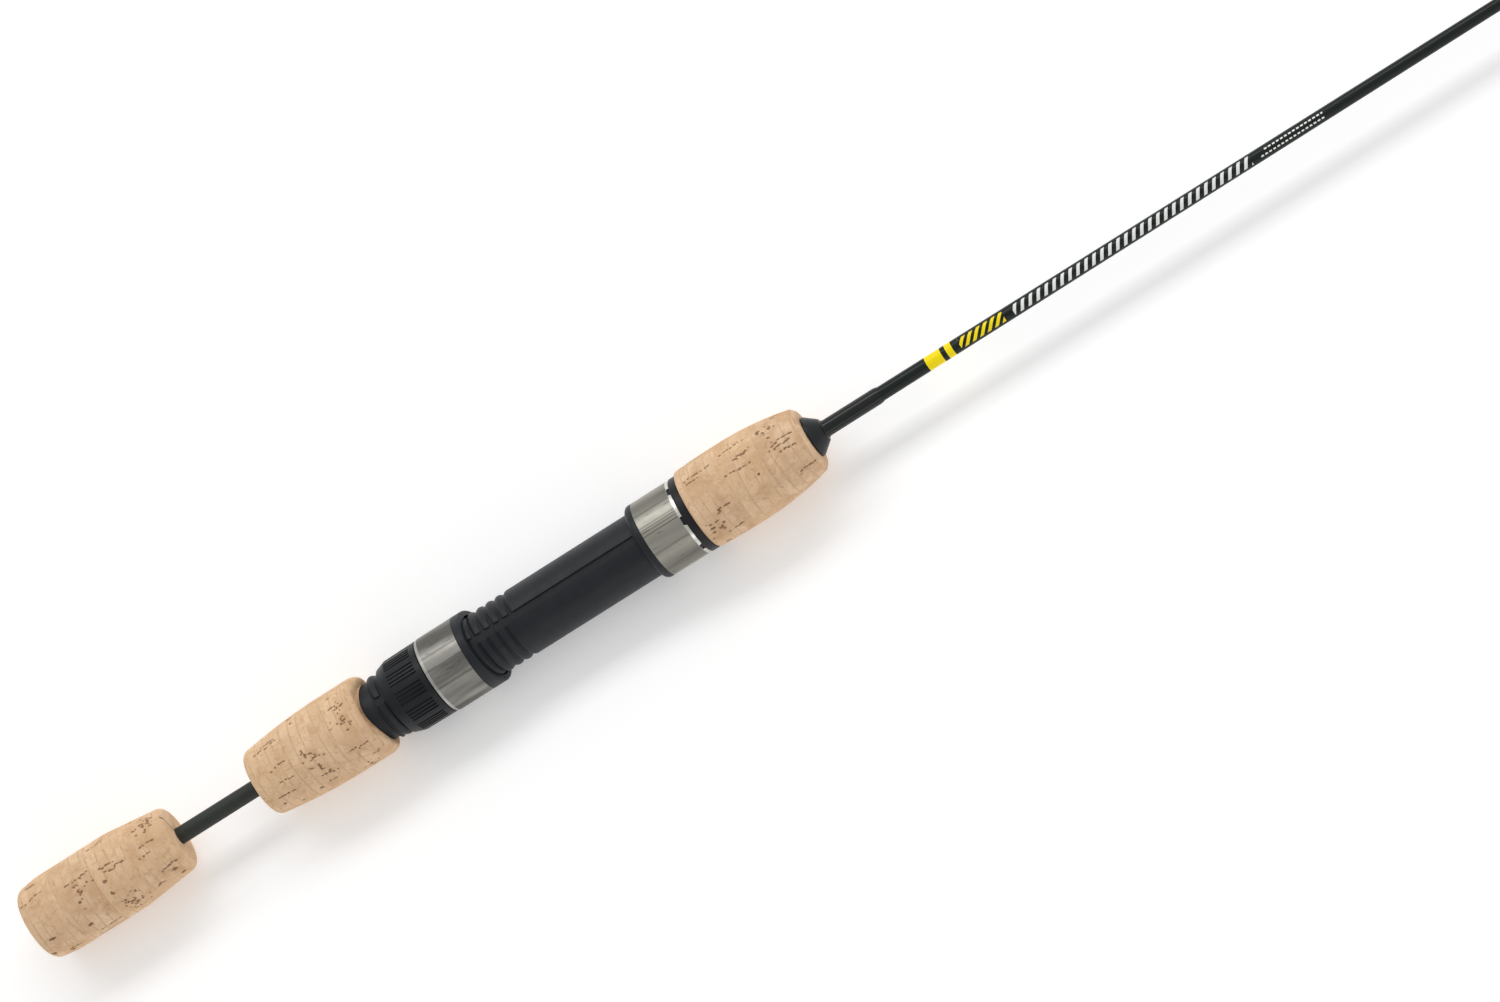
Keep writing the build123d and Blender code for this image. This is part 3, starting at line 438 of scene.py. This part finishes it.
def cork_mesh(name, outline, seed, hollow=None):
    """A turned cork grip with pores sunk in its surface; hollow cuts its front for another piece."""
    draw = np.random.default_rng(seed)
    points = spaced(outline, 0.25)
    around = 320
    angle = np.linspace(0, 2 * math.pi, around, endpoint=False)
    x = np.repeat(points[:, :1], around, axis=1)
    r = np.repeat(points[:, 1:], around, axis=1)
    turn = np.repeat(angle[None, :], len(points), axis=0)
    rag = sum(
        np.sin(x * draw.uniform(2, 7) + turn * draw.integers(12, 60) + draw.uniform(0, 6.28))
        for _ in range(6)
    ) / 3
    sunk = np.zeros_like(x)
    depth = np.zeros_like(x)

    def sink(x0, turn0, half_long, half_wide, deep):
        far = (turn - turn0 + math.pi) % (2 * math.pi) - math.pi
        off = ((x - x0) / half_long) ** 2 + (far * r / half_wide) ** 2
        dip = np.clip((1.5 - off - 0.55 * rag) / 0.9, 0, 1)
        np.maximum(sunk, dip, out=sunk)
        np.maximum(depth, dip * deep, out=depth)

    x_rear, x_front = points[:, 0].min(), points[:, 0].max()
    rings = round((x_front - x_rear) / ring_length)
    long = (x_front - x_rear) / rings
    for ring in range(rings):
        for _ in range(8):
            row_turn, at = draw.uniform(0, 2 * math.pi), draw.uniform(0.1, 0.6) * long
            for _ in range(draw.integers(3, 8)):
                pore = draw.uniform(0.3, 0.8), draw.uniform(0.16, 0.3), draw.uniform(0.1, 0.28)
                sink(x_rear + ring * long + at, row_turn, *pore)
                at += draw.uniform(0.7, 1.7)
                row_turn += draw.normal(0, 0.02)
                if at > long - 0.6:
                    break
        for _ in range(2):
            heart, heart_turn = x_rear + (ring + draw.uniform(0.2, 0.8)) * long, draw.uniform(0, 2 * math.pi)
            for _ in range(16):
                pit_x, pit_turn = heart + draw.normal(0, 1.6), heart_turn + draw.normal(0, 0.16)
                pore = draw.uniform(0.2, 0.6), draw.uniform(0.15, 0.34), draw.uniform(0.08, 0.26)
                sink(pit_x, pit_turn, *pore)
        for _ in range(5):
            pit_x = x_rear + (ring + draw.uniform(0.1, 0.9)) * long
            pit_turn = draw.uniform(0, 2 * math.pi)
            pore = draw.uniform(0.4, 1.0), draw.uniform(0.3, 0.6), draw.uniform(0.2, 0.4)
            sink(pit_x, pit_turn, *pore)
        at, where, climb = draw.uniform(0.2, 0.7) * long, draw.uniform(0, 2 * math.pi), draw.normal(0, 0.4)
        for _ in range(draw.integers(3, 6)):
            sink(x_rear + ring * long + at, where, 0.25, 0.3, 0.15)
            where += 0.045
            at += 0.5 * climb * draw.uniform(0.3, 1.6)
    glue = np.zeros_like(x)
    for joint in range(1, rings):
        wander = x_rear + joint * long + 0.12 * np.sin(turn * 5 + joint)
        line = np.clip(1 - np.abs(x - wander) / 0.22, 0, 1)
        glue = np.maximum(glue, line * np.clip(0.45 + 0.5 * rag, 0, 1))
    r = r - depth * np.clip(r / 6 - 0.4, 0, 1) - 0.04 * glue
    y, z = r * np.cos(turn), r * np.sin(turn)
    if hollow:
        x, y, z = hollow(x, y, z)
    mesh = skin(name, np.stack((x, y, z), axis=-1), True, 50.0)
    for label, values in (("pit", sunk), ("glue", glue)):
        layer = mesh.attributes.new(label, "FLOAT", "POINT")
        layer.data.foreach_set("value", values.reshape(-1).astype(np.float32))
    return mesh


butt_rear, butt_front, butt_radius = span("butt_grip")
butt_outline = rounded([
    (butt_rear, 0.4, 0),
    (butt_rear, 10.9, 3.0),
    (butt_rear + 7.5, butt_radius, 12.0),
    (butt_rear + 31.0, butt_radius, 12.0),
    (butt_front, 9.85, 2.2),
    (butt_front, blank_radius(butt_front) + 0.05, 0),
    (butt_rear + 6.0, blank_radius(butt_rear) + 0.05, 0),
    (butt_rear + 5.0, 0.4, 0),
])
fit_piece("butt_cork", cork_mesh("butt_cork", butt_outline, 11), cork, "root", "cork", "butt_grip")

mid_rear, mid_front, mid_radius = span("mid_grip")
seat_drop = 1.3
neck_bore = 8.95
face_dish = 2.6
face_hollow = 1.1
flare_end = mid_rear + 28.0
flare_drop = mid_radius - 9.9
flare_bend = (28.0**2 + flare_drop**2) / (2 * flare_drop)
flare = [
    (x, mid_radius - flare_bend + math.sqrt(flare_bend**2 - (flare_end - x) ** 2))
    for x in np.linspace(mid_rear + 2.3, flare_end, 20)
]
mid_outline = (
    [(mid_rear, blank_radius(mid_rear) + 0.05)]
    + rounded([(mid_rear, 4.0, 0), (mid_rear, 9.9, 2.4), (mid_rear + 5.0, flare[3][1], 0)])[1:-1]
    + flare[1:]
    + rounded([(flare_end, mid_radius, 0), (mid_front, mid_radius, 3.2), (mid_front, 6.0, 0)])[1:]
    + [(mid_front - 7.5, 6.0), (mid_front - 7.5, blank_radius(mid_rear) + 0.05)]
)


def neck_hollow(x, y, z):
    """Dishes the front face towards the top and opens it for the reel seat's round neck."""
    top = np.clip(z / (neck_bore - seat_drop), 0, 1) ** 2
    near_front = np.clip((x - (mid_front - 12.0)) / 12.0, 0, 1)
    from_seat = np.hypot(y, z + seat_drop)
    inside = (x > mid_front - 7.9) & (from_seat < neck_bore) & (np.hypot(y, z) > 5.5)
    push = np.where(inside, neck_bore / np.maximum(from_seat, 0.1), 1.0)
    y, z = y * push, (z + seat_drop) * push - seat_drop
    out = np.hypot(y, z)
    over = np.clip(out - (mid_radius - 3.2), 0, 3.2)
    skin_x = mid_front - 3.2 + np.sqrt(np.maximum(3.2**2 - over**2, 0))
    x = np.where(inside, np.minimum(x, skin_x), x)
    inward = np.clip((11.0 - np.hypot(y, z + seat_drop / 2)) / 2.2, 0, 1)
    return x - near_front * (face_dish * top + face_hollow * inward), y, z


fit_piece("mid_cork", cork_mesh("mid_cork", mid_outline, 23, neck_hollow), cork, "root", "cork", "mid_grip")

fore_rear, fore_front, fore_radius = span("fore_grip")
swell = fore_rear + 13.0
swell_end = fore_rear + 15.5


def easing(x, x_flat, r_flat, x_far, r_far):
    """Radius on the arc that leaves a straight stretch smoothly and ends at a given radius."""
    fall = r_flat - r_far
    bend = ((x_far - x_flat) ** 2 + fall**2) / (2 * fall)
    return r_flat - bend + math.sqrt(bend**2 - (x - x_flat) ** 2)


fore_outline = (
    [(fore_rear, blank_radius(fore_rear) + 0.05), (fore_rear, 11.4), (fore_rear + 0.25, 11.9)]
    + [(x, easing(x, swell, fore_radius, fore_rear, 12.15)) for x in np.linspace(fore_rear + 0.8, swell, 8)]
    + [
        (x, easing(x, swell_end, fore_radius, fore_front, 9.6))
        for x in np.linspace(swell_end, fore_front - 1.2, 24)
    ]
    + [(fore_front - 0.15, 8.75), (fore_front, 8.3), (fore_front, blank_radius(fore_front) + 0.05)]
)
fit_piece("fore_cork", cork_mesh("fore_cork", fore_outline, 37), cork, "root", "cork", "fore_grip")


# ---- Reel seat, liner and trim ring ----
# The seat body, the moving hood's liner and the trim ring are injection moulded in
# black glass-filled nylon, with a fine spark-eroded skin that hands have polished a little.
moulded_skin, ask, give = effect(
    "moulded_skin",
    [("Point", "Vector", None), ("Grain", "Float", 6.0)],
    [("Height", "Float"), ("Rub", "Float")],
)
moulded_skin.links.new(noise(moulded_skin, ask["Point"], ask["Grain"], 3.0, 0.6), give["Height"])
moulded_skin.links.new(noise(moulded_skin, ask["Point"], 0.22, 4.0, 0.6), give["Rub"])


def moulded(name, dark, pale, roughness, spread, grain=6.0):
    """A black moulded finish: two close tones, a fine skin and rubbed patches."""
    material, tree, shader = finish_called(name, dark, roughness, Specular_IOR_Level=0.28)
    skin_of = use(tree, moulded_skin, {"Point": in_mm(tree), "Grain": grain})
    tree.links.new(blend_colours(tree, skin_of["Rub"], dark, pale), shader.inputs["Base Color"])
    rubbed = sums(tree, "MULTIPLY_ADD", skin_of["Rub"], -spread, roughness + spread / 2)
    tree.links.new(rubbed, shader.inputs["Roughness"])
    bump = place(tree, "Bump", {"Height": skin_of["Height"], "Strength": 0.3, "Distance": 0.00004}).outputs[0]
    tree.links.new(bump, shader.inputs["Normal"])
    return material


def clothe(node, material):
    """Gives a CAD node its finished material."""
    mesh = nodes[node].data
    mesh.materials.clear()
    mesh.materials.append(material)


black_nylon = moulded("black_nylon", srgb(20, 23, 27), srgb(33, 37, 42), 0.46, 0.14)
for node in ("seat_body", "moving_hood_liner"):
    clothe(node, black_nylon)

trim_black = moulded("trim_black", srgb(18, 18, 21), srgb(30, 30, 34), 0.4, 0.12)
trim_rear, trim_front, trim_radius = span("seat_front_ring")
trim_inner, trim_round = 6.0, 0.35
trim_outline = rounded([
    (trim_rear, trim_inner, 0),
    (trim_rear, trim_radius, trim_round),
    (trim_front, trim_radius, trim_round),
    (trim_front, trim_inner, 0),
])
trim_mesh = turned("trim_ring", trim_outline, 160, seat_drop, closed=True)
fit_piece("trim_ring", trim_mesh, trim_black, "root", "black_nylon", "seat_front_ring")

arbor_paper, tree, shader = finish_called("arbor_paper", srgb(214, 200, 160), 0.85)
turn_feeds = {"Vector": in_mm(tree), "Scale": 0.6, "Distortion": 2.0}
layers = place(tree, "TexWave", turn_feeds, wave_type="RINGS", rings_direction="X").outputs["Fac"]
paper_tone = blend_colours(tree, layers, srgb(206, 188, 145), srgb(224, 212, 176))
tree.links.new(paper_tone, shader.inputs["Base Color"])
for node in ("seat_arbor_rear", "seat_arbor_front"):
    clothe(node, arbor_paper)


# ---- Hood sleeves ----
# Both hoods are covered by sleeves cut from thin stainless tube. The tube is drawn
# through a die, which leaves long fine lines; the front one is crimped over the seat's edge.
# Dark streaks at set angles round each sleeve are painted reflections and painted shade,
# and a band at one bevel of each is tinted near white as a painted highlight.
draw_lines, ask, give = effect(
    "draw_lines",
    [("Point", "Vector", None), ("Fineness", "Float", 5.0)],
    [("Line", "Float"), ("Broad", "Float"), ("Polish", "Float"), ("Station", "Float"), ("Angle", "Float")],
)
axes = place(draw_lines, "SeparateXYZ", {0: ask["Point"]}).outputs
lowered = sums(draw_lines, "ADD", axes[2], seat_drop)
around = sums(draw_lines, "ARCTAN2", lowered, axes[1])
slow_along = sums(draw_lines, "MULTIPLY", axes[0], 0.012)
round_axes = {0: slow_along, 1: sums(draw_lines, "COSINE", around), 2: sums(draw_lines, "SINE", around)}
wrap_round = place(draw_lines, "CombineXYZ", round_axes).outputs[0]
draw_lines.links.new(noise(draw_lines, wrap_round, ask["Fineness"], 7.0, 0.72), give["Line"])
draw_lines.links.new(noise(draw_lines, wrap_round, 2.6, 2.0), give["Broad"])
draw_lines.links.new(noise(draw_lines, ask["Point"], 0.5, 4.0), give["Polish"])
draw_lines.links.new(axes[0], give["Station"])
draw_lines.links.new(sums(draw_lines, "DEGREES", around), give["Angle"])


def drawn_steel(name, dark, pale, line_and_reflection_dark, roughness, fineness, polished, painted_highlight, painted_dark_reflections):
    """Drawn stainless tube: close lengthwise lines in tone, roughness and height.

    polished gives a band's two stations, where the steel is smoother and tinted near white by the next
    argument's strength, a painted highlight; the last argument lists (angle, half width, depth) of dark
    lengthwise streaks, painted reflections and painted shade.
    """
    material, tree, shader = finish_called(name, pale, roughness, 1.0)
    drawn = use(tree, draw_lines, {"Point": in_mm(tree), "Fineness": fineness})
    tone = ramp(tree, drawn["Broad"], 0.35, 0.65)
    colour = blend_colours(tree, tone, dark, pale)
    score = ramp(tree, drawn["Line"], 0.6, 0.7, top=0.8)
    colour = blend_colours(tree, score, colour, line_and_reflection_dark)
    # Dark streaks at set angles round the sleeve, in the darkest line tone: painted reflections and painted
    # shade.
    for angle, half_width, depth in painted_dark_reflections:
        off = sums(tree, "ABSOLUTE", sums(tree, "SUBTRACT", drawn["Angle"], angle))
        cut = ramp(tree, off, 0.0, half_width, depth, 0.0)
        colour = blend_colours(tree, cut, colour, line_and_reflection_dark)
    # A band at the bevel is smoother and tinted near white: a painted highlight.
    past = sums(tree, "GREATER_THAN", drawn["Station"], polished[0])
    short = sums(tree, "LESS_THAN", drawn["Station"], polished[1])
    band = sums(tree, "MULTIPLY", past, short)
    colour = blend_colours(tree, sums(tree, "MULTIPLY", band, painted_highlight), colour, srgb(226, 225, 219))
    tree.links.new(colour, shader.inputs["Base Color"])
    worn = sums(tree, "MULTIPLY_ADD", drawn["Polish"], 0.16, roughness - 0.08)
    worn = sums(tree, "MULTIPLY_ADD", drawn["Line"], 0.12, worn)
    tree.links.new(sums(tree, "MULTIPLY_ADD", band, -0.12, worn), shader.inputs["Roughness"])
    bump = place(tree, "Bump", {"Height": drawn["Line"], "Strength": 0.25, "Distance": 0.00003}).outputs[0]
    tree.links.new(bump, shader.inputs["Normal"])
    return material


hood_rear, hood_front, hood_radius = span("moving_hood_sleeve")
fixed_rear, fixed_front, _ = span("fixed_hood_sleeve")
sleeve_wall = 0.38
bevel_length = 0.9
# Satin sleeve: a painted highlight at its rear bevel and three dark streaks painted as reflections; its
# darkest tone serves both the real draw lines and the painted reflections.
satin_steel = drawn_steel(
    "satin_steel", srgb(104, 102, 97), srgb(160, 158, 152), srgb(70, 66, 62), 0.44, 5.0,
    (hood_rear - 1, hood_rear + bevel_length), 0.4, ((76.0, 2.2, 0.5), (96.0, 1.6, 0.55), (124.0, 3.0, 0.6)),
)
# Bright sleeve: a painted highlight at its front bevel, fine dark streaks painted as reflections, and broad
# dark bands at 52 and 158 degrees painted as shade.
bright_steel = drawn_steel(
    "bright_steel", srgb(150, 147, 138), srgb(172, 169, 159), srgb(44, 43, 40), 0.38, 12.0,
    (fixed_front - bevel_length, fixed_front + 1), 0.85,
    (
        (65.0, 1.2, 0.6), (85.0, 0.8, 0.7), (89.0, 0.8, 0.7), (93.0, 0.8, 0.75),
        (98.0, 0.9, 0.9), (126.5, 3.5, 0.35), (52.0, 30.0, 0.5), (158.0, 34.0, 0.6),
    ),
)

moving_outline = rounded([
    (hood_rear, hood_radius - sleeve_wall, 0),
    (hood_rear, hood_radius - 0.2, 0.05),
    (hood_rear + bevel_length, hood_radius, 0.3),
    (hood_front, hood_radius, 0.08),
    (hood_front, hood_radius - sleeve_wall, 0),
])
moving_mesh = turned("moving_sleeve", moving_outline, 200, seat_drop, closed=True)
fit_piece("moving_sleeve", moving_mesh, satin_steel, "moving_hood", "satin_steel", "moving_hood_sleeve")

notch_count = 7
notch_half = math.degrees(1.4 / hood_radius)
notch_depth = 0.75
notch_turn = 17.4
fixed_outline = rounded([
    (fixed_rear, hood_radius - sleeve_wall, 0),
    (fixed_rear, hood_radius, 0.12),
    (fixed_front - bevel_length, hood_radius, 0.4),
    (fixed_front, hood_radius - 0.2, 0.06),
    (fixed_front, hood_radius - sleeve_wall, 0),
])
points = np.array(fixed_outline)
angle = np.linspace(0, 2 * math.pi, 720, endpoint=False)
half_pitch = 180 / notch_count
off_notch = (np.degrees(angle) - 90 - notch_turn + half_pitch) % (2 * half_pitch) - half_pitch
cut_back = np.clip((notch_half - np.abs(off_notch)) / 0.5, 0, 1) * notch_depth
x = np.minimum(np.repeat(points[:, :1], 720, axis=1), fixed_front - cut_back)
y = points[:, 1:] * np.cos(angle)
z = points[:, 1:] * np.sin(angle) - seat_drop
fixed_mesh = skin("fixed_sleeve", np.stack((x, y, z), axis=-1), True)
fit_piece("fixed_sleeve", fixed_mesh, bright_steel, "root", "bright_steel", "fixed_hood_sleeve")


# ---- Locking nut ----
# The knurled nut is moulded in the same black nylon, a touch glossier where fingers
# turn it. It screws along the seat's thread and pushes the hood by its snap collar.
nut_nylon = moulded("nut_nylon", srgb(15, 17, 20), srgb(27, 30, 34), 0.42, 0.16, 7.0)
clothe("locking_nut", nut_nylon)


# ---- Winding check ----
# A soft black rubber cone, pushed down the blank against the fore grip to close
# its bore; the wrap's epoxy runs up to its nose.
check_rubber = moulded("check_rubber", srgb(22, 23, 25), srgb(40, 42, 45), 0.34, 0.16, 9.0)
check_rear, check_front, check_radius = span("winding_check")
check_outline = rounded([
    (check_rear, blank_radius(check_rear) + 0.05, 0),
    (check_rear, check_radius, 0.1),
    (check_rear + 0.65, check_radius, 0.3),
    (check_front, 3.4, 0.12),
    (check_front, blank_radius(check_front) + 0.05, 0),
])
check_mesh = turned("check_cone", check_outline, 128, closed=True)
fit_piece("check_cone", check_mesh, check_rubber, "root", "black_rubber", "winding_check")


# ---- Thread wraps and their clear coats ----
# Fine black nylon thread is wound on under tension, turn against turn, over the
# blank and the guide feet, then sealed with epoxy that levels to a gloss, so thin
# and close over the thread that it reads as one deep black.
thread_pitch = 0.2

thread_lay, ask, give = effect(
    "thread_lay", [("Point", "Vector", None)], [("Height", "Float"), ("Fleck", "Float")]
)
axes = place(thread_lay, "SeparateXYZ", {0: ask["Point"]}).outputs
turns = sums(thread_lay, "DIVIDE", axes[0], thread_pitch)
ridge = sums(thread_lay, "ABSOLUTE", sums(thread_lay, "SINE", sums(thread_lay, "MULTIPLY", turns, math.pi)))
fleck = noise(thread_lay, ask["Point"], 4.0, 2.0)
thread_lay.links.new(ridge, give["Height"])
thread_lay.links.new(fleck, give["Fleck"])

wrap_thread, tree, shader = finish_called("wrap_thread", srgb(20, 22, 23), 0.45)
lay = use(tree, thread_lay, {"Point": in_mm(tree)})
thread_tone = blend_colours(tree, lay["Fleck"], srgb(14, 16, 16), srgb(30, 33, 33))
tree.links.new(thread_tone, shader.inputs["Base Color"])
tree.links.new(sums(tree, "MULTIPLY_ADD", lay["Fleck"], 0.2, 0.32), shader.inputs["Roughness"])
thread_bump = place(tree, "Bump", {"Height": lay["Height"], "Strength": 0.6, "Distance": 0.00008}).outputs[0]
tree.links.new(thread_bump, shader.inputs["Normal"])

wrap_epoxy, tree, shader = finish_called(
    "wrap_epoxy", srgb(17, 18, 18), 0.4, Specular_IOR_Level=0.1, Coat_Weight=0.5, Coat_Roughness=0.03
)
point = in_mm(tree)
lay = use(tree, thread_lay, {"Point": point})
flow = noise(tree, point, 0.35, 1.0)
# Paler on the thread's crests and darker between its turns under the coat: painted light and painted shade.
turn_shade_tone = blend_colours(tree, lay["Height"], srgb(10, 11, 11), srgb(27, 29, 29))
tree.links.new(turn_shade_tone, shader.inputs["Base Color"])
tree.links.new(sums(tree, "MULTIPLY_ADD", lay["Fleck"], 0.2, 0.3), shader.inputs["Roughness"])
level = sums(tree, "MULTIPLY_ADD", lay["Height"], 0.04, flow)
flow_bump = place(tree, "Bump", {"Height": level, "Strength": 0.2, "Distance": 0.0002}).outputs[0]
tree.links.new(flow_bump, shader.inputs["Normal"])

wrap_rear, wrap_front, _ = span("butt_wrap_thread")
stations = np.arange(wrap_rear, wrap_front, thread_pitch / 5)
strands = [
    (x, blank_radius(x) + 0.05 + 0.1 * abs(math.sin(math.pi * x / thread_pitch))) for x in stations
]
ends = [(x, blank_radius(x) + 0.02) for x in (wrap_rear, wrap_front)]
strands = ends[:1] + strands + ends[1:]
wrap_mesh = turned("butt_wrap_strands", strands, 64, closed=True, sharp=80.0)
fit_piece("butt_wrap_strands", wrap_mesh, wrap_thread, "root", "wrap_thread", "butt_wrap_thread")

coat_rear, coat_front, _ = span("butt_wrap_coat")
layer = 0.17 + 0.14
coat_edge = 0.06
coat_bulge = 0.04
under_coat = 0.165
fillet_length = 1.1
fillet_height = 0.77
rear_radius = blank_radius(coat_rear)
wrap_nose = blank_radius(wrap_front)
fillet_arc = [
    (coat_rear + fillet_length * (1 - math.cos(a)), rear_radius + layer + fillet_height * (1 - math.sin(a)))
    for a in np.linspace(0, math.pi / 2, 8)
]
bulge = []
for t in np.linspace(0, 1, 12):
    crown = wrap_nose + layer + coat_bulge * math.sin(math.pi * t)
    bulge.append((wrap_front + (coat_front - wrap_front) * t, crown - (layer - coat_edge) * t**2.4))
coat_outline = fillet_arc + bulge + [
    (coat_front, blank_radius(coat_front) + 0.01),
    (wrap_front + 0.05, wrap_nose + 0.012),
    (wrap_front + 0.05, wrap_nose + under_coat),
    (coat_rear, rear_radius + under_coat),
]
coat_mesh = turned("butt_wrap_gloss", coat_outline, 96, closed=True, sharp=60.0)
fit_piece("butt_wrap_gloss", coat_mesh, wrap_epoxy, "root", "wrap_epoxy", "butt_wrap_coat")

for guide in ("guide_1", "guide_2", "guide_3", "guide_4", "tip_top"):
    clothe(f"{guide}_thread", wrap_thread)
    clothe(f"{guide}_coat", wrap_epoxy)


# ---- Line guides and tip-top ----
# Each guide is stamped and bent from thin steel with a black plated finish. A dark
# ceramic ring is pressed into its collar; the tip-top's tube is glued over the blank's end.
black_plate, tree, shader = finish_called("black_plate", srgb(44, 45, 48), 0.24, 1.0)
skin_of = use(tree, moulded_skin, {"Point": in_mm(tree), "Grain": 5.0})
plate_tone = blend_colours(tree, skin_of["Rub"], srgb(36, 37, 40), srgb(74, 75, 80))
tree.links.new(plate_tone, shader.inputs["Base Color"])
tree.links.new(sums(tree, "MULTIPLY_ADD", skin_of["Rub"], 0.2, 0.14), shader.inputs["Roughness"])
ring_ceramic, tree, shader = finish_called(
    "ring_ceramic", srgb(52, 54, 58), 0.1, Coat_Weight=0.6, Coat_Roughness=0.04
)
skin_of = use(tree, moulded_skin, {"Point": in_mm(tree), "Grain": 11.0})
ceramic_tone = blend_colours(tree, skin_of["Rub"], srgb(42, 44, 47), srgb(66, 68, 73))
tree.links.new(ceramic_tone, shader.inputs["Base Color"])
tree.links.new(sums(tree, "MULTIPLY_ADD", skin_of["Height"], 0.08, 0.06), shader.inputs["Roughness"])
for guide in ("guide_1", "guide_2", "guide_3", "guide_4", "tip_top"):
    clothe(f"{guide}_frame", black_plate)
    clothe(f"{guide}_ring", ring_ceramic)
